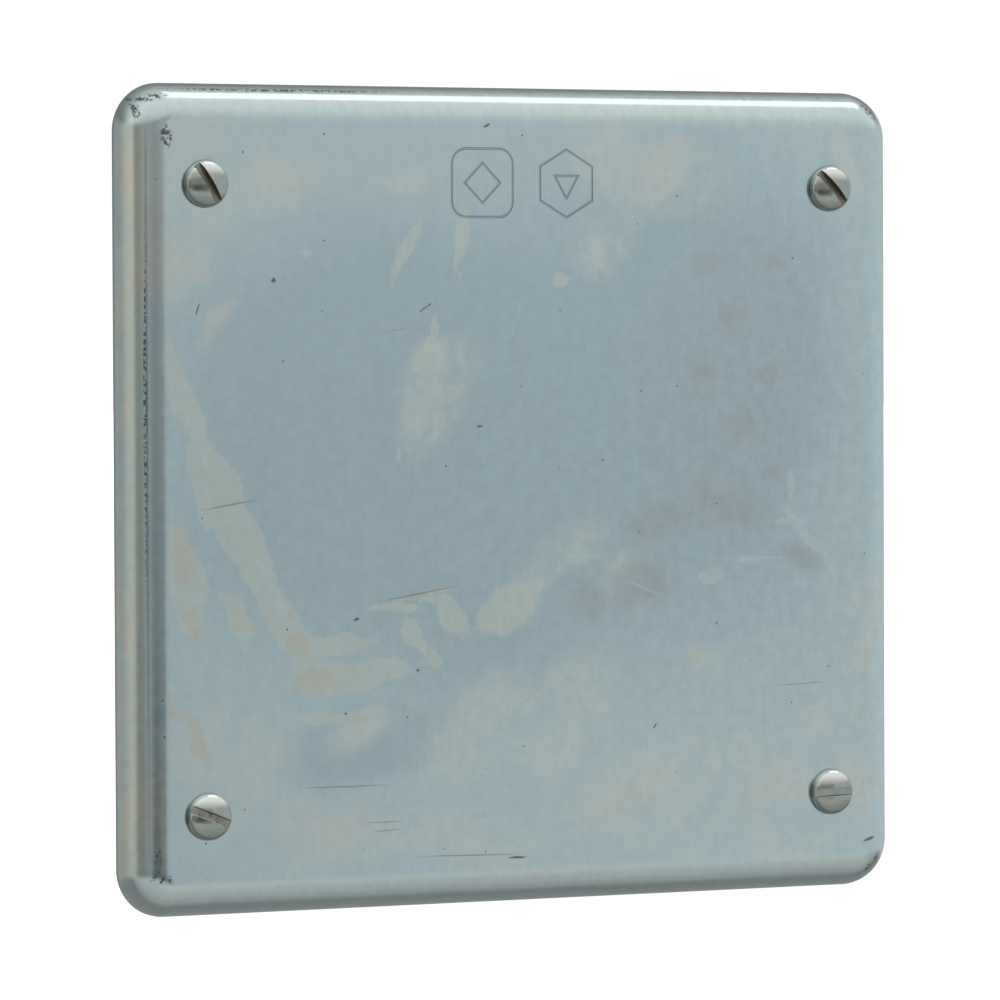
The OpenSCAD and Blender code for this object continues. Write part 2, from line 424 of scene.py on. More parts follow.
def stained_zinc(n, p):
    """The colour of the plating with the stains that lie on the mesh."""
    cloud = n.noise(p, 0.11, 4.0, 0.62, 0.8).outputs[0]
    fuzz = n.math("SUBTRACT", n.noise(p, 0.7, 4.0, 0.65).outputs[0], 0.5)

    def stain(name, start, full, ragged):
        """Mask of a stain from its distance field, its edge made ragged."""
        distance = n.math("ADD", n.attribute(name), n.math("MULTIPLY", fuzz, ragged))
        return n.ramp(distance, start, full)

    outside = n.math("SUBTRACT", 1.0, stain("middle", 1.35, 0.75, 0.3))
    colour = n.mix(outside, SLATE, PALE_ZINC)
    for name, (_, _, _, start, full, ragged, tint, amount) in STAINS.items():
        mask = stain(name, start, full, ragged)
        if name == "sand_soft":
            mask = n.math("MULTIPLY", mask, n.ramp(cloud, 0.36, 0.6, 0.35, 1.0))
        colour = n.lay(colour, mask, tint, amount)
    return colour


def mottled_edges(n, p, x, z, colour):
    """Colour with the bent edges paler above and below, and brown and blue down the sides."""
    side = n.ramp(n.math("ABSOLUTE", x), 55.6, 57)
    colour = n.lay(colour, n.ramp(n.math("ABSOLUTE", z), 52.3, 53.6), (0.545, 0.665, 0.675), 0.8)
    along = n.noise(n.vmath("MULTIPLY", p, (0.5, 0.5, 0.16)).outputs[0], 0.5, 4.0, 0.6).outputs[0]
    colour = n.lay(colour, n.math("MULTIPLY", side, n.ramp(along, 0.5, 0.66)), (0.62, 0.62, 0.60), 0.5)
    return n.lay(colour, n.math("MULTIPLY", side, n.ramp(along, 0.48, 0.36)), (0.44, 0.63, 0.72), 0.55)


def scattered_dots(n, x, z):
    """Mask of small dark dots, about one to a square of 13 mm."""
    flat = n.new("ShaderNodeCombineXYZ", {0: x, 1: z, 2: 0.0}).outputs[0]
    dot = n.new("ShaderNodeTexVoronoi", {"Vector": flat, "Scale": 0.16}, voronoi_dimensions="2D")
    rare = n.ramp(n.new("ShaderNodeSeparateXYZ", {0: dot.outputs["Color"]}).outputs[0], 0.78, 1.0)
    return n.math("MULTIPLY", n.ramp(dot.outputs["Distance"], 0.03, 0.014), rare)


def zinc_sheet():
    """Zinc plate under a clear chromate: blue-grey, with patches of yellow-green, beige and pink."""
    material, n, shader = new_material("zinc_sheet", Metallic=1.0)
    p = position_mm(n)
    x, _, z = n.new("ShaderNodeSeparateXYZ", {0: p}).outputs
    near = wander(n, p, 1.4, 0.3)
    colour = stained_zinc(n, p)
    colour = n.lay(colour, n.ramp(patches(n, near, HAIRLINES), 1.2, 0.7), (0.58, 0.70, 0.72), 0.5)
    colour = mottled_edges(n, p, x, z, colour)
    # fine streaks and blotches
    streak = n.noise(n.vmath("MULTIPLY", p, (1.0, 1.0, 0.12)).outputs[0], 0.9, 3.0, 0.6).outputs[0]
    blotch = n.noise(p, 0.55, 4.0, 0.65).outputs[0]
    value = n.math("ADD", n.spread(streak, -0.012, 0.012), n.spread(blotch, 0.965, 1.035))
    level = n.new("ShaderNodeCombineXYZ", {0: value, 1: value, 2: value}).outputs[0]
    colour = n.mix(1.0, colour, level, "MULTIPLY")
    # scratches, dots, pits, flecks, a painted contact shadow round the screw heads, and painted shade with
    # some dirt in the stamped lines
    scratches = n.ramp(patches(n, near, SCRATCHES), 1.2, 0.5)
    pits = n.ramp(patches(n, near, PITS), 1.15, 0.6)
    gritty = n.ramp(n.noise(p, 1.7, 3.0, 0.7).outputs[0], 0.47, 0.55)
    flecks = n.math("MULTIPLY", n.ramp(patches(n, p, FLECKS), 1.25, 0.7), gritty)
    # painted contact shadow: a thin dark ring round the foot of each screw head
    ring = patches(n, p, [(*AXIS_MM[corner], 3.3, 3.3, 0) for corner in CORNERS])
    head_contact_shadow = n.ramp(ring, 1.05, 1.0)
    colour = n.lay(colour, scratches, (0.33, 0.33, 0.29), 0.75)
    colour = n.mix(scattered_dots(n, x, z), colour, (0.16, 0.17, 0.15))
    # pits and flecks are dirt; the ring round each head is a painted contact shadow, and the stamped lines
    # get painted shade with some dirt
    for mask, amount in ((pits, 0.8), (flecks, 0.92), (head_contact_shadow, 0.5), (n.attribute("shade_and_dirt"), 0.32)):
        colour = n.lay(colour, mask, DIRT_AND_SHADE, amount)
    n.set(shader.inputs["Base Color"], colour)
    rough = n.math("ADD", n.spread(blotch, 0.12, 0.17), n.math("MULTIPLY", flecks, 0.2))
    n.set(shader.inputs["Roughness"], rough)
    relief(n, shader, n.noise(p, 2.2, 4.0, 0.6).outputs[0], 0.12, 0.02 * MM)
    return material


def bright_steel():
    """Bright zinc-plated screw steel, with painted shade and dirt in the slots, rust in the bottom left
    one, a painted highlight towards each head's top and painted shade towards its bottom.
    """
    material, n, shader = new_material("bright_screw_steel", Metallic=1.0)
    p = position_mm(n)
    cloud = n.noise(p, 0.6, 4.0, 0.6).outputs[0]
    colour = n.mix(n.ramp(cloud, 0.35, 0.7), STEEL_DARK, STEEL_LIGHT)
    worn = n.noise(p, 1.9, 5.0, 0.7).outputs[0]
    colour = n.mix(n.ramp(worn, 0.56, 0.66, 0, 0.5), colour, (0.28, 0.31, 0.29))
    # each head is painted lighter towards its top, a painted highlight, and darker towards its bottom,
    # painted shade
    z = n.new("ShaderNodeSeparateXYZ", {0: p}).outputs[2]
    rise = n.math("SUBTRACT", z, n.math("MULTIPLY", n.math("SIGN", z), AXIS_MM["top_left"][1]))
    colour = n.mix(n.ramp(rise, 1.0, 2.6), colour, (0.74, 0.78, 0.77))
    colour = n.mix(n.ramp(rise, -1.2, -3.0, 0, 0.6), colour, (0.25, 0.28, 0.26))
    shade_and_dirt = n.attribute("shade_and_dirt")
    x0, z0 = AXIS_MM["bottom_left"]
    rusty = n.ramp(patches(n, wander(n, p, 1.2, 1.0), [(x0, z0 - 0.2, 2.9, 0.8, -22)]), 1.2, 0.7)
    rusty = n.math("MULTIPLY", rusty, n.ramp(n.noise(p, 1.4, 4.0, 0.6).outputs[0], 0.45, 0.6))
    colour = n.lay(colour, rusty, RUST, 0.7)
    # the slot's walls and floor are darkened: painted shade, with dirt
    colour = n.mix(shade_and_dirt, colour, SLOT_SHADE_AND_DIRT_COLOUR)
    n.set(shader.inputs["Base Color"], colour)
    rough = n.spread(n.noise(p, 2.5, 4.0).outputs[0], 0.07, 0.14)
    rough = n.math("ADD", rough, n.math("MULTIPLY", n.math("MAXIMUM", rusty, shade_and_dirt), 0.35))
    n.set(shader.inputs["Roughness"], rough)
    relief(n, shader, n.noise(p, 5.0, 3.0).outputs[0], 0.25, 0.03 * MM)
    return material


def gasket_rubber():
    """Black rubber, matt and slightly pebbled."""
    material, n, shader = new_material("gasket_rubber", Specular_IOR_Level=0.35)
    p = position_mm(n)
    colour = n.mix(n.noise(p, 0.5, 4.0).outputs[0], (0.018, 0.018, 0.02), (0.04, 0.04, 0.042))
    n.set(shader.inputs["Base Color"], colour)
    n.set(shader.inputs["Roughness"], n.spread(n.noise(p, 1.5, 3.0).outputs[0], 0.6, 0.8))
    relief(n, shader, n.noise(p, 4.0, 5.0, 0.65).outputs[0], 0.4, 0.05 * MM)
    return material


def retainer_nylon():
    """Natural nylon, cream and a little translucent."""
    material, n, shader = new_material("retainer_nylon", Subsurface_Weight=0.2, Subsurface_Scale=0.001)
    p = position_mm(n)
    colour = n.mix(n.noise(p, 0.8, 3.0).outputs[0], (0.72, 0.69, 0.6), (0.82, 0.79, 0.71))
    n.set(shader.inputs["Base Color"], colour)
    n.set(shader.inputs["Roughness"], n.spread(n.noise(p, 2.0, 3.0).outputs[0], 0.35, 0.5))
    relief(n, shader, n.noise(p, 3.0, 4.0).outputs[0], 0.2, 0.03 * MM)
    return material


# ---------------------------------------------------------------- the pressed cover


def face_sag(x, z):
    """How far the face lies behind its plane: a pressed sheet is never quite flat."""
    u, v = x / HALF_W, z / HALF_H
    edge = max(0.0, (1 - u * u) * (1 - v * v))
    wave = 1 + 0.5 * math.cos(5.1 * u + 1.3) * math.cos(3.7 * v + 0.4) + 0.3 * math.cos(8.3 * v - 2.2 * u)
    return 0.04 * MM * edge * wave


def section():
    """Section of the edge, as (inset from the outline, y), from outer face to inner face."""
    steps = 28
    inner = BEND - SHEET  # inner radius of the bend
    top = FACE_Y + BEND
    quarter = [math.radians(90 * k / steps) for k in range(steps + 1)]
    points = [(BEND - BEND * math.sin(a), top - BEND * math.cos(a)) for a in quarter]
    points.append((0.0, RIM_Y - RIM_ROUND))
    points += [(RIM_ROUND + x, RIM_Y - RIM_ROUND + y) for x, y in arc(0, 0, RIM_ROUND, 180, 90, 4)][1:]
    points += [(SHEET - RIM_ROUND + x, RIM_Y - RIM_ROUND + y) for x, y in arc(0, 0, RIM_ROUND, 90, 0, 4)]
    points += [(BEND - inner * math.sin(a), top - inner * math.cos(a)) for a in reversed(quarter)]
    return points


def edge_stations():
    """Centre and outward normal of each station round the cover, anticlockwise from the right."""
    stations = []
    spacing, steps = 3 * MM, 20
    centres = [(HALF_W - CORNER, HALF_H - CORNER), (-HALF_W + CORNER, HALF_H - CORNER)]
    centres += [(-x, -y) for x, y in centres]
    for k, (cx, cy) in enumerate(centres):
        for a in range(steps + 1):
            angle = math.radians(90 * k + 90 * a / steps)
            stations.append(((cx, cy), (math.cos(angle), math.sin(angle))))
        nxt = centres[(k + 1) % 4]
        angle = math.radians(90 * (k + 1))
        stations += [(q, (math.cos(angle), math.sin(angle))) for q in between((cx, cy), nxt, spacing)]
    return stations


def stroke_loops(shape, *sizes):
    """Outlines of a stamped closed line: the two edges at the surface and the two of its floor."""
    half = MARK_LINE / 2
    surface = [shape(half, *sizes), shape(-half, *sizes)]
    floor = [shape(half - MARK_WALL, *sizes), shape(-half + MARK_WALL, *sizes)]
    return surface, floor


def square_outline(grow, half, r):
    return rounded_outline(half + grow, half + grow, r + grow, 8)


def turned_square(grow, half):
    reach = (half + grow) * math.sqrt(2)
    return [(reach, 0), (0, reach), (-reach, 0), (0, -reach)]


def hexagon_outline(grow, flat):
    reach = (flat + grow) / math.cos(math.radians(30))
    return ring_points(0, 0, reach, 6)


def triangle_outline(grow, flat):
    return ring_points(0, 0, (flat + grow) / math.cos(math.radians(60)), 3)


def turned(loop, degrees):
    c, s = math.cos(math.radians(degrees)), math.sin(math.radians(degrees))
    return [(c * x - s * y, s * x + c * y) for x, y in loop]


def mark_loops():
    """(surface outlines, floor outlines) of both stamped marks, on the face."""
    surface, floor = [], []

    def place(loops, side, degrees=0):
        return [[(side * MARK_GAP / 2 + x, MARK_UP + y) for x, y in turned(l, degrees)] for l in loops]

    half = MARK_SIZE / 2 - MARK_LINE / 2
    for shape, sizes, side, degrees in (
        (square_outline, (half, 2.2 * MM), -1, 0),
        (turned_square, (0.2 * MARK_SIZE,), -1, 0),
        (hexagon_outline, (half * math.cos(math.radians(30)),), 1, 30),
        (triangle_outline, (0.125 * MARK_SIZE - MARK_LINE / 2,), 1, 30),
    ):
        s, f = stroke_loops(shape, *sizes)
        surface += place(s, side, degrees)
        floor += place(f, side, degrees)
    return surface, floor


def flat_face(b, outline, y, marks, lift, step):
    """Fills one face of the sheet inside outline, with points about step apart, and leaves the screw
    holes open. lift(x, z) is how far the face lies behind y."""
    surface, floor = mark_loops() if marks else ([], [])
    holes = [ring_points(x, z, HOLE_R + HOLE_ROUND, HOLE_SIDES) for x, z in AXES.values()]
    loops = [outline] + holes + surface + floor
    keep_off = [(x, z, HOLE_R + 1.0 * MM) for x, z in AXES.values()]
    if marks:
        keep_off += [(side * MARK_GAP / 2, MARK_UP, MARK_SIZE * 0.8) for side in (-1, 1)]
    span_x, span_z = HALF_W - BEND - 0.5 * step, HALF_H - BEND - 0.5 * step

    def on_face(q):
        return min(span_x - abs(q[0]), span_z - abs(q[1])) > 2 * MM or inside(q, outline)

    nx, nz = int(2 * span_x / step), int(2 * span_z / step)
    across = [-span_x + 2 * span_x * i / nx for i in range(nx + 1)]
    up = [-span_z + 2 * span_z * j / nz for j in range(nz + 1)]
    grid = [(x, z) for x in across for z in up]
    grid = [q for q in grid if on_face(q) and all(math.dist(q, k[:2]) > k[2] for k in keep_off)]
    first_floor = sum(len(l) for l in loops) - sum(len(l) for l in floor)
    last_floor = first_floor + sum(len(l) for l in floor)
    flat, tris, origin = triangulate(loops, grid)
    points = []
    for (x, z), o in zip(flat, origin):
        sunk = MARK_DEPTH if o is not None and first_floor <= o < last_floor else 0.0
        points.append((x, y + lift(x, z) + sunk, z))
    base = b.add(points)[0]
    for t in tris:
        cx = sum(flat[k][0] for k in t) / 3
        cz = sum(flat[k][1] for k in t) / 3
        in_hole = any(math.dist((cx, cz), q) < HOLE_R + 0.1 * MM for q in AXES.values())
        if not in_hole and on_face((cx, cz)):
            b.faces.append(tuple(base + k for k in t))


def hole_walls(b, lift):
    """Walls of the four screw holes, each with a small round at both ends."""
    r = HOLE_ROUND
    for x, z in AXES.values():
        rows = []
        out_y = FACE_Y + lift(x, z)
        in_y = out_y + SHEET
        for a in (90, 60, 30, 0):
            t = math.radians(a)
            rows.append((HOLE_R + r - r * math.cos(t), out_y + r - r * math.sin(t)))
        for a in (0, 30, 60, 90):
            t = math.radians(a)
            rows.append((HOLE_R + r - r * math.cos(t), in_y - r + r * math.sin(t)))
        b.rows([[(px, y, pz) for px, pz in ring_points(x, z, radius, HOLE_SIDES)] for radius, y in rows])


def build_cover(material):
    b = Builder()
    stations = edge_stations()
    rows = []
    for inset, y in section():
        reach = CORNER - inset
        rows.append([(c[0] + n[0] * reach, y, c[1] + n[1] * reach) for c, n in stations])
    b.rows(rows)

    def edge_free(x, z):
        """The sag, faded out where the face meets the bend and round the screws."""
        from_bend = min(HALF_W - BEND - abs(x), HALF_H - BEND - abs(z)) / (9 * MM)
        from_screw = (min(math.dist((x, z), q) for q in AXES.values()) - 4 * MM) / (20 * MM)
        share = max(0.0, min(1.0, from_bend)) * max(0.0, min(1.0, from_screw))
        return face_sag(x, z) * share * share * (3 - 2 * share)

    def face_shade_and_dirt(centre, _normal):
        """The floors of the stamped lines are darkened: painted shade, with some dirt."""
        in_marks = abs(centre.x) < MARK_GAP and abs(centre.z - MARK_UP) < 0.6 * MARK_SIZE
        sunk = centre.y - FACE_Y - edge_free(centre.x, centre.z)
        return 1.0 if in_marks and 0.3 * MARK_DEPTH < sunk < 2 * MARK_DEPTH else 0.0

    outline = [(x, z) for x, _, z in rows[0]]
    flat_face(b, outline, FACE_Y, True, edge_free, 1.1 * MM)
    inner_outline = [(x, z) for x, _, z in rows[-1]]
    flat_face(b, inner_outline, FACE_Y + SHEET, False, edge_free, 2.6 * MM)
    hole_walls(b, edge_free)
    piece = new_piece("cover_pressing", b.verts, b.faces, "root", material, 30, face_shade_and_dirt)
    points = [(v.co.x / MM, v.co.z / MM) for v in piece.data.vertices]
    fields = {"middle": (MIDDLE, *MIDDLE_BEND)}
    fields.update({name: stain[:3] for name, stain in STAINS.items()})
    for name, field in fields.items():
        layer = piece.data.attributes.new(name, "FLOAT", "POINT")
        layer.data.foreach_set("value", [stain_field(x, z, *field) for x, z in points])
    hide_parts("cover")


# ---------------------------------------------------------------- screws

HEAD_R = 3.25 * MM
HEAD_SIDE = 0.5 * MM                       # height where the head's straight side ends
HEAD_H = 1.98 * MM
HEAD_FOOT = 0.14 * MM                      # round at the bottom of the side
CROWN_R = 6.513 * MM                       # radius of the crown of the head
SHOULDER_R = 1.0 * MM                      # radius of the shoulder that runs from crown to side
SHOULDER_START = (HEAD_R - SHOULDER_R) * CROWN_R / (CROWN_R - SHOULDER_R)
EDGE_R = HEAD_R - 0.04 * MM                # where the rounded top is joined to the side
SLOT_HALF = 0.55 * MM
SLOT_DEPTH = 1.1 * MM
UNDERCUT_R = 1.3 * MM                      # the shank between head and thread
THREAD_R = 1.75 * MM
THREAD_ROOT_R = 1.32 * MM
SCREW_LEN = 12.7 * MM                      # under the head
SCREW_SIDES = 96
# How dark the floor of each slot is painted, with painted shade and dirt, and which way the slot points, in
# degrees from +X
SLOT_FLOOR_SHADE_AND_DIRT = {"top_left": 0.72, "top_right": 0.8, "bottom_left": 0.3, "bottom_right": 0.12}
SLOT_ANGLE = {"top_left": -58, "top_right": -47, "bottom_left": -22, "bottom_right": 2}


def dome_height(r):
    """Height of the head's rounded top above its seat at a radius."""
    if r <= SHOULDER_START:
        return HEAD_H - CROWN_R + math.sqrt(CROWN_R ** 2 - r * r)
    out = min(1.0, (r - HEAD_R + SHOULDER_R) / SHOULDER_R)
    return HEAD_SIDE + SHOULDER_R * math.sqrt(1 - out * out)


def slot_outline(half, floor_r):
    """Outline of the slot in plan: two straight sides joined by arcs of radius floor_r."""
    a = math.degrees(math.asin(half / floor_r))
    right = arc(0, 0, floor_r, -a, a, 6)
    left = [(-x, -y) for x, y in right]
    return right + between(right[-1], left[0], 0.3 * MM) + left + between(left[-1], right[0], 0.3 * MM)


def crown(b):
    """The rounded top inside radius EDGE_R, with the driver slot sunk in it; points are (x, y, height)."""
    floor = HEAD_H - SLOT_DEPTH
    floor_r = HEAD_R - SHOULDER_R + math.sqrt(SHOULDER_R ** 2 - (floor - HEAD_SIDE) ** 2)
    lip, wall = 0.06 * MM, 0.03 * MM
    rim = ring_points(0, 0, EDGE_R, SCREW_SIDES)
    outer = slot_outline(SLOT_HALF + lip, floor_r + 0.01 * MM)
    brow = slot_outline(SLOT_HALF, floor_r)
    base = slot_outline(SLOT_HALF - wall, floor_r - wall)
    loops = [rim, outer, brow, base]
    points = []
    radii = [SHOULDER_START * k / 12 for k in range(1, 13)]
    radii += [SHOULDER_START + (EDGE_R - SHOULDER_START) * k / 9 for k in range(1, 9)]
    for r in radii:
        ring = ring_points(0, 0, r, max(12, round(SCREW_SIDES * r / EDGE_R)))
        points += [q for q in ring if abs(q[1]) > SLOT_HALF + 0.15 * MM or r > floor_r + 0.04 * MM]
    flat, tris, origin = triangulate(loops, points)
    ends = [0]
    for loop in loops:
        ends.append(ends[-1] + len(loop))
    verts = []
    for (x, y), o in zip(flat, origin):
        h = dome_height(math.hypot(x, y))
        if o is not None and ends[3] <= o < ends[4]:
            h = min(h, floor)
        elif o is not None and ends[2] <= o < ends[3]:
            h = max(min(h, floor + 0.005 * MM), h - 0.05 * MM)
        verts.append((x, y, h))
    start = b.add(verts)[0]
    b.faces += [tuple(start + k for k in t) for t in tris]


def head_side_rows():
    """(radius, height) down the head's side from the rounded top's edge to the shank."""
    start = math.acos((EDGE_R - HEAD_R + SHOULDER_R) / SHOULDER_R)
    rows = [
        (HEAD_R - SHOULDER_R + SHOULDER_R * math.cos(a), HEAD_SIDE + SHOULDER_R * math.sin(a))
        for a in (start * (1 - k / 5) for k in range(1, 6))
    ]
    rows += [(HEAD_R, HEAD_FOOT + (HEAD_SIDE - HEAD_FOOT) * (1 - k / 3)) for k in range(1, 4)]
    for a in (22, 45, 68, 90):
        t = math.radians(a)
        rows.append((HEAD_R - HEAD_FOOT + HEAD_FOOT * math.cos(t), HEAD_FOOT - HEAD_FOOT * math.sin(t)))
    rows.append((UNDERCUT_R + 0.15 * MM, 0.0))
    rows += [(UNDERCUT_R + 0.05 * MM, -0.05 * MM), (UNDERCUT_R, -0.18 * MM)]
    return rows


def thread_radius(turn, depth_share):
    """Radius of the thread after a number of turns, cut to depth_share of its full depth."""
    share = turn % 1.0
    height = min(1.0, max(0.0, (0.5 - abs(share - 0.5)) / 0.375 - 0.12))
    return THREAD_ROOT_R + (THREAD_R - THREAD_ROOT_R) * height * depth_share


def screw_mesh(thread_top):
    """One screw on its own axis, its seat at height 0 and its slot along x; thread_top is the height
    where the thread starts."""
    b = Builder()
    crown(b)

    def ring(r, h):
        return b.add([(x, y, h) for x, y in ring_points(0, 0, r, SCREW_SIDES)])

    made = [ring(EDGE_R, dome_height(EDGE_R))]
    made += [ring(r, h) for r, h in head_side_rows()]
    made.append(ring(UNDERCUT_R, thread_top + 0.05 * MM))
    steps = 130
    lead_in = 0.5 * MM
    bottom = -SCREW_LEN
    last_round = bottom + 0.5 * MM
    for k in range(steps + 1):
        h = thread_top + (last_round - thread_top) * k / steps
        fade_top = min(1.0, (thread_top - h) / lead_in)
        fade_end = min(1.0, (h - last_round) / (1.2 * lead_in) + 0.25)
        depth_share = max(0.0, min(fade_top, fade_end))
        row = []
        for j in range(SCREW_SIDES):
            a = 2 * math.pi * j / SCREW_SIDES
            r = thread_radius(h / PITCH - j / SCREW_SIDES, depth_share)
            row.append((r * math.cos(a), r * math.sin(a), h))
        made.append(b.add(row))
    for share in (0.35, 0.7, 1.0):
        made.append(ring(THREAD_ROOT_R * (1 - 0.28 * share), last_round + (bottom - last_round) * share))
    for a, c in zip(made, made[1:]):
        b.strip(a, c)
    tip = b.add([(0, 0, bottom)])
    b.faces += [(made[-1][k], made[-1][(k + 1) % SCREW_SIDES], tip[0]) for k in range(SCREW_SIDES)]
    return b


def build_screw(corner, material):
    """A screw of its own mesh, turned to its slot's angle and stood on the cover's face."""
    retainer_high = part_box("retainer_" + corner)[1].y
    b = screw_mesh(FACE_Y - retainer_high - 0.1 * MM)
    x0, z0 = AXES[corner]
    angle = math.radians(SLOT_ANGLE[corner])
    c, s = math.cos(angle), math.sin(angle)
    verts = [(x0 + c * x - s * y, FACE_Y - h, z0 + s * x + c * y) for x, y, h in b.verts]

    def face_shade_and_dirt(centre, normal):
        """Painted shade and dirt on the walls and floor of the slot."""
        dx, dz, h = centre.x - x0, centre.z - z0, FACE_Y - centre.y
        u, v = c * dx + s * dz, c * dz - s * dx
        deep = HEAD_H - SLOT_DEPTH - 0.03 * MM < h < dome_height(math.hypot(u, v)) - 0.03 * MM
        if abs(v) > SLOT_HALF or not deep:
            return 0.0
        return SLOT_FLOOR_SHADE_AND_DIRT[corner] if abs(normal.y) > 0.9 else 1.0

    piece = new_piece(
        "screw_" + corner + "_finished", verts, b.faces, "screw_" + corner, material,
        32, face_shade_and_dirt,
    )
    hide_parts("screw_" + corner)


# ---------------------------------------------------------------- gasket and retaining washers

GASKET_CORNER = 2.0 * MM
GASKET_HOLE_R = 2.2 * MM
GASKET_ROUND = 0.18 * MM                   # worn round of its edges
WASHER_BORE_R = 1.35 * MM
WASHER_ROUND = 0.15 * MM


def offset_loop(loop, inward):
    """Moves a closed anticlockwise outline inwards by its corner normals."""
    out = []
    for k, p in enumerate(loop):
        a, c = Vector(loop[k - 1]), Vector(loop[(k + 1) % len(loop)])
        p = Vector(p)
        u, v = (p - a).normalized(), (c - p).normalized()
        n = Vector((-u.y - v.y, u.x + v.x))
        if n.length < 1e-9:
            n = Vector((-u.y, u.x)) * 2
        n = n * (inward / (1 + u.dot(v))) if 1 + u.dot(v) > 0.2 else n.normalized() * inward
        out.append((p.x + n.x, p.y + n.y))
    return out


def rounded_plate(outer, holes, low_y, high_y, r):
    """A flat plate of given outline and holes, with rounded edges; outlines are anticlockwise."""
    b = Builder()
    angles = [math.radians(a) for a in (0, 30, 60, 90)]
    for loop, way in [(outer, 1)] + [(h, -1) for h in holes]:
        rows = []
        for a in reversed(angles):
            rows.append((r - r * math.cos(a), low_y + r - r * math.sin(a)))
        for a in angles:
            rows.append((r - r * math.cos(a), high_y - r + r * math.sin(a)))
        b.rows([[(x, y, z) for x, z in offset_loop(loop, way * inset)] for inset, y in rows])
    top_outer = offset_loop(outer, r)
    top_holes = [offset_loop(h, -r) for h in holes]
    for y in (low_y, high_y):
        flat, tris, _ = triangulate([top_outer] + top_holes, [])
        base = b.add([(x, y, z) for x, z in flat])[0]
        for t in tris:
            c = (sum(flat[k][0] for k in t) / 3, sum(flat[k][1] for k in t) / 3)
            if inside(c, top_outer) and not any(inside(c, h) for h in top_holes):
                b.faces.append(tuple(base + k for k in t))
    return b


def gasket_window(half_w, half_h):
    """The gasket's inner outline: a rectangle that steps in round a pad at each screw."""
    strip, pad = 7 * MM, 6 * MM            # width of the gasket, and from a screw to its pad's edges
    fillet, nick = 3 * MM, 0.5 * MM        # the pad's rounded corner, and the tight corners beside it
    wx, wz = half_w - strip, half_h - strip
    sx, sz = AXES["top_right"]
    px, pz = sx - pad, sz - pad
    quarter = arc(wx - nick, pz - nick, nick, 0, 90, 4)
    quarter += reversed(arc(px + fillet, pz + fillet, fillet, 180, 270, 8))
    quarter += arc(px - nick, wz - nick, nick, 0, 90, 4)
    loop = list(quarter)
    loop += [(-x, z) for x, z in reversed(quarter)]
    loop += [(-x, -z) for x, z in quarter]
    loop += [(x, -z) for x, z in reversed(quarter)]
    return loop


def build_gasket(material):
    low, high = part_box("gasket")
    outer = rounded_outline(high.x, high.z, GASKET_CORNER, 8, 4 * MM)
    window = gasket_window(high.x, high.z)
    holes = [window] + [ring_points(x, z, GASKET_HOLE_R, 40) for x, z in AXES.values()]
    b = rounded_plate(outer, holes, low.y, high.y, GASKET_ROUND)
    piece = new_piece("gasket_sheet", b.verts, b.faces, "root", material, 50)
    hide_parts("gasket")


def build_retainer(corner, material):
    low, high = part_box("retainer_" + corner)
    x, z = AXES[corner]
    outer = ring_points(x, z, high.x - x, 64)
    bore = ring_points(x, z, WASHER_BORE_R, 48)
    b = rounded_plate(outer, [bore], low.y, high.y, WASHER_ROUND)
    piece = new_piece(
        "retainer_" + corner + "_washer", b.verts, b.faces, "retainer_" + corner,
        material, 50,
    )
    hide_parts("retainer_" + corner)


# ---------------------------------------------------------------- camera, floor and light

YAW = math.radians(27.20)                  # round from the face's normal, towards -X
RISE_ANGLE = math.radians(1.389)           # how far above the object's level the camera stands
ROLL = math.radians(-0.253)
DISTANCE = 0.932
ASIDE = (3.64 * MM, 0.65 * MM)             # how far the view is centred off the face's middle
LENS = 236.3
SENSOR = 36.0


def build_camera():
    level = math.cos(RISE_ANGLE)
    back = Vector((-math.sin(YAW) * level, -math.cos(YAW) * level, math.sin(RISE_ANGLE)))
    right = Vector((math.cos(YAW), -math.sin(YAW), 0))
    up = back.cross(right)
    right, up = (right * math.cos(ROLL) + up * math.sin(ROLL), up * math.cos(ROLL) - right * math.sin(ROLL))
    place = Vector((0, FACE_Y, 0)) + back * DISTANCE - right * ASIDE[0] - up * ASIDE[1]
    data = bpy.data.cameras.new("camera")
    data.lens, data.sensor_width = LENS, SENSOR
    data.clip_start, data.clip_end = 0.05, 50
    camera = bpy.data.objects.new("camera", data)
    bpy.context.scene.collection.objects.link(camera)
    camera.matrix_world = Matrix.Translation(place) @ Matrix((right, up, back)).transposed().to_4x4()
    bpy.context.scene.camera = camera


FACE_LIGHT = 0.60                          # brightness of the studio where the face reflects it
RAMP_SHARE = 0.4                           # levels are stored at this share, so that ramps stay under 1
BACKDROP = 1.05                            # brightness of the white that the camera sees
EYE = (-32.5, -0.7, 0.0)                   # the dark lens and its surround, as azimuth and elevation
EYE_SIZE = (4.6, 3.0, 1)
EYE_DARK = (0.05, 0.05, 0.05)
LAMP_X, LAMP_RISE = 0.45, 85.0             # the strip lamp overhead: share of +X, degrees about X
LAMP_X_EDGE = (0.24, 0.18)                 # how far from its middle it ends, and where it is full
LAMP_RISE_EDGE = (12.5, 9.5)
LAMP_LEVEL = (1.2, 1.2, 1.2)
LOWER, LEVEL, UPPER = -4.8, -1.4, 2.2      # elevations of STUDIO's levels, from the bottom up
OPEN_FROM, OPEN_AT = 12, 21                # elevations between which STUDIO gives way to RISE
RISE_TINT = (1.03, 1.0, 0.96)              # colour of the light above and below the object

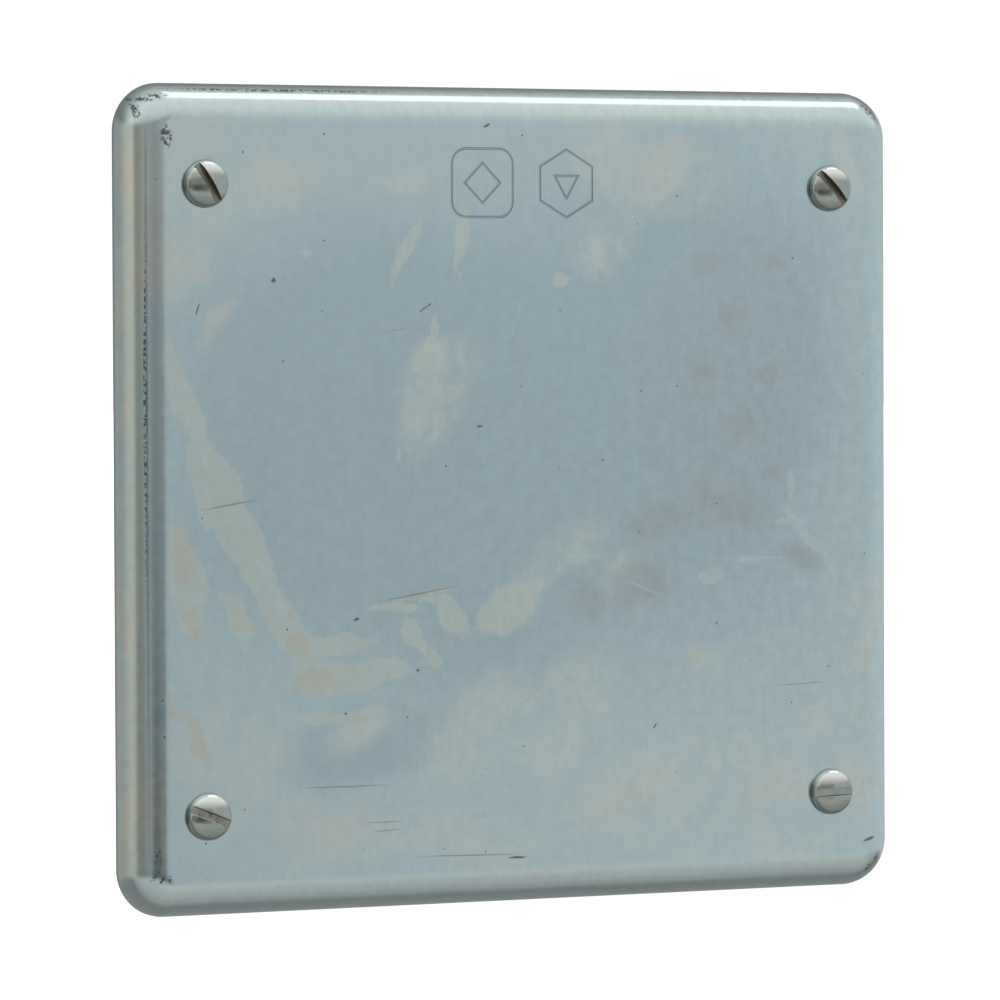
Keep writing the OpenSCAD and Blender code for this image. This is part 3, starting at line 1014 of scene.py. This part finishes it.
# Brightness round the studio at the height of the object, relative to what the face reflects: degrees
# from the face's normal round towards +X, warmth, and the level a little above, at and below the object
STUDIO = [
    (-180, 0.0, 0.40, 0.40, 0.40), (-160, 0.05, 0.45, 0.48, 0.50), (-146, 0.09, 0.72, 0.77, 0.74),
    (-128, 0.09, 0.70, 0.72, 0.75), (-115, 0.10, 0.76, 0.72, 0.79), (-103, 0.13, 0.95, 0.90, 0.84),
    (-92, 0.14, 1.05, 1.06, 0.93), (-81, 0.14, 1.14, 1.06, 0.94), (-73, 0.15, 1.10, 0.98, 0.70),
    (-66, 0.18, 0.60, 0.62, 0.48), (-56, 0.15, 0.55, 0.54, 0.45), (-48, 0.10, 0.66, 0.60, 0.45),
    (-40, 0.06, 0.74, 0.74, 0.56), (-26, 0.02, 0.74, 0.74, 0.62), (-20, 0.02, 0.76, 0.60, 0.34),
    (-12, 0.04, 0.70, 0.52, 0.24), (-2, 0.04, 0.68, 0.52, 0.28), (8, 0.03, 0.74, 0.57, 0.40),
    (17, 0.03, 0.78, 0.60, 0.42), (21, 0.0, 0.84, 0.78, 0.70), (24, 0.0, 1.16, 1.0, 1.02),
    (31, 0.0, 1.20, 1.0, 1.16), (42, 0.0, 1.16, 1.07, 1.16), (54, 0.0, 1.18, 1.13, 1.16),
    (78, 0.0, 1.19, 1.19, 1.19), (96, 0.0, 1.2, 1.2, 1.2), (115, 0.0, 1.1, 1.1, 1.1),
    (139, 0.0, 0.84, 0.84, 0.84), (180, 0.0, 0.40, 0.40, 0.40),
]
# Level round the studio from low to high, in degrees about the X axis from straight ahead
RISE = [
    (-180, 0.50), (-146, 0.52), (-122, 0.50), (-106, 0.47), (-92, 0.46), (-79, 0.66), (-57, 0.87),
    (-37, 0.99), (-27, 1.10), (-18, 1.13), (-9, 1.30), (-4, 1.18), (0, 1.1), (3, 1.26), (18, 1.26),
    (27, 1.30), (37, 1.45), (57, 1.55), (72, 1.60), (100, 1.2), (108, 1.12), (121, 0.80),
    (144, 0.46), (180, 0.40),
]


def curve(n, degrees, stops):
    """A colour that follows an angle: stops are (degrees from -180 to 180, colour), joined by straight
    lines. The colours are stored at RAMP_SHARE."""
    share = n.new("ShaderNodeMapRange", {"Value": degrees, "From Min": -180, "From Max": 180}).outputs[0]
    node = n.new("ShaderNodeValToRGB", {0: share})
    ramp = node.color_ramp
    ramp.elements[0].position, ramp.elements[1].position = 0.0, 1.0
    places = [((p + 180) / 360, colour) for p, colour in stops]
    for p, _ in places[1:-1]:
        ramp.elements.new(p)
    for element, (p, colour) in zip(ramp.elements, places):
        element.position = p
        element.color = (*(RAMP_SHARE * c for c in colour), 1.0)
    return node.outputs[0]


def warm(level, warmth):
    """A grey with its red raised and its blue lowered."""
    return (level * (1 + warmth), level, level * (1 - 1.1 * warmth))


def build_world():
    """A soft studio round the object, darker where the camera stands, and a white backdrop."""
    world = bpy.data.worlds.new("studio")
    bpy.context.scene.world = world
    world.use_nodes = True
    n = Nodes(world.node_tree)
    look = n.new("ShaderNodeTexCoord").outputs["Generated"]
    x, y, z = n.new("ShaderNodeSeparateXYZ", {0: look}).outputs
    ahead = n.math("MULTIPLY", y, -1.0)
    azimuth = n.math("DEGREES", n.math("ARCTAN2", x, ahead))
    elevation = n.math("DEGREES", n.math("ARCSINE", z))
    about_x = n.math("DEGREES", n.math("ARCTAN2", z, ahead))
    upper, level, lower = (curve(n, azimuth, [(s[0], warm(s[k], s[1])) for s in STUDIO]) for k in (2, 3, 4))
    near = n.mix(n.ramp(elevation, LOWER, LEVEL), lower, level)
    near = n.mix(n.ramp(elevation, LEVEL, UPPER), near, upper)
    far = curve(n, about_x, [(p, tuple(v * c for c in RISE_TINT)) for p, v in RISE])
    # the dark part of the room is only a little higher than the object; above and below it is open
    light = n.mix(n.ramp(n.math("ABSOLUTE", elevation), OPEN_FROM, OPEN_AT), near, far)
    eye = n.new("ShaderNodeCombineXYZ", {0: azimuth, 1: elevation, 2: 0.0}).outputs[0]
    light = n.mix(n.blob(eye, EYE, EYE_SIZE, 0.55), light, EYE_DARK)
    # the lamp; its least height keeps it out of directions close to the X axis
    across = n.ramp(n.math("ABSOLUTE", n.math("SUBTRACT", x, LAMP_X)), *LAMP_X_EDGE)
    along = n.ramp(n.math("ABSOLUTE", n.math("SUBTRACT", about_x, LAMP_RISE)), *LAMP_RISE_EDGE)
    above = n.ramp(z, 0.2, 0.3)
    lamp = n.math("MULTIPLY", n.math("MULTIPLY", across, along), above)
    light = n.mix(lamp, light, LAMP_LEVEL)
    studio = n.new("ShaderNodeBackground", {"Color": light, "Strength": FACE_LIGHT / RAMP_SHARE})
    white = n.new("ShaderNodeBackground", {"Color": (1, 1, 1, 1), "Strength": BACKDROP})
    seen = n.new("ShaderNodeLightPath").outputs["Is Camera Ray"]
    mixed = n.new("ShaderNodeMixShader", {0: seen, 1: studio.outputs[0], 2: white.outputs[0]})
    n.new("ShaderNodeOutputWorld", {0: mixed.outputs[0]})


def build_floor():
    """A pale floor just under the cover, which the metal doesn't reflect."""
    bm = bmesh.new()
    bmesh.ops.create_grid(bm, x_segments=8, y_segments=8, size=6)
    mesh = bpy.data.meshes.new("floor")
    bm.to_mesh(mesh)
    bm.free()
    floor = bpy.data.objects.new("floor", mesh)
    floor.location = (0, 0, COVER_LOW.z)
    bpy.context.scene.collection.objects.link(floor)
    material, _, shader = new_material("floor_white", Roughness=0.9, Emission_Strength=0.85)
    shader.inputs["Base Color"].default_value = (0.92, 0.92, 0.92, 1)
    shader.inputs["Emission Color"].default_value = (1, 1, 1, 1)
    mesh.materials.append(material)
    floor.visible_glossy = False
    floor.visible_diffuse = False


# ---------------------------------------------------------------- assembly

bpy.context.scene.view_settings.view_transform = "Standard"
build_camera()
build_world()
build_floor()
SHEET_STEEL = zinc_sheet()
SCREW_STEEL = bright_steel()
RUBBER = gasket_rubber()
NYLON = retainer_nylon()
build_cover(SHEET_STEEL)
build_gasket(RUBBER)
for corner in CORNERS:
    build_screw(corner, SCREW_STEEL)
    build_retainer(corner, NYLON)
